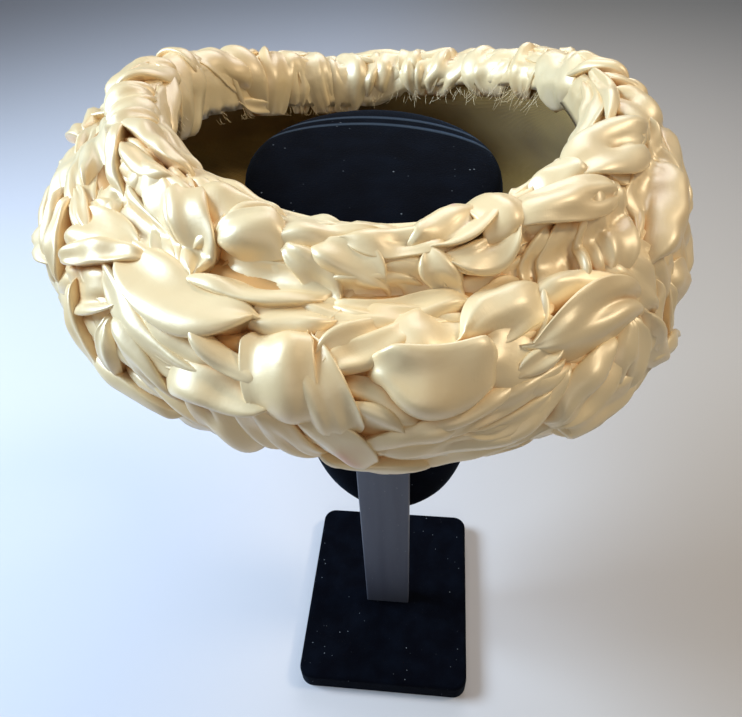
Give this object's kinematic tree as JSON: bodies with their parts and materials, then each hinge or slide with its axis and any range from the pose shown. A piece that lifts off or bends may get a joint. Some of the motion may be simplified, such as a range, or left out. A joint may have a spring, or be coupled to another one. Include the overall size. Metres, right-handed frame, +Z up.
{
  "type": "plaited satin ring hat on a neck bust stand",
  "caption": "Crownless pillbox-style ring hat of plaited satin over a stiff cloth foundation, resting on a black velvet neck bust with a flat post and base.",
  "frame": {"origin": "middle of the underside of the stand's base", "axes": "+Z up; -Y towards the viewer of the reference view, on the side where the post stands; +X to that viewer's right"},
  "size_m": [0.2431, 0.2938, 0.398],
  "materials": {
    "ivory_satin": "soft satin sheen, folded and plaited",
    "tan_cloth": "matte open weave",
    "black_velvet": "matte short pile",
    "grey_paint": "satin paint"
  },
  "bodies": {
    "root": {"foundation_upper": "tan_cloth", "foundation_lower": "tan_cloth", "rim_turning": "ivory_satin", "plait_upper": "ivory_satin", "plait_middle": "ivory_satin", "plait_lower": "ivory_satin", "plait_under": "ivory_satin", "neck_bust": "black_velvet", "stand_post": "grey_paint", "stand_base": "black_velvet"}
  },
  "joints": []
}
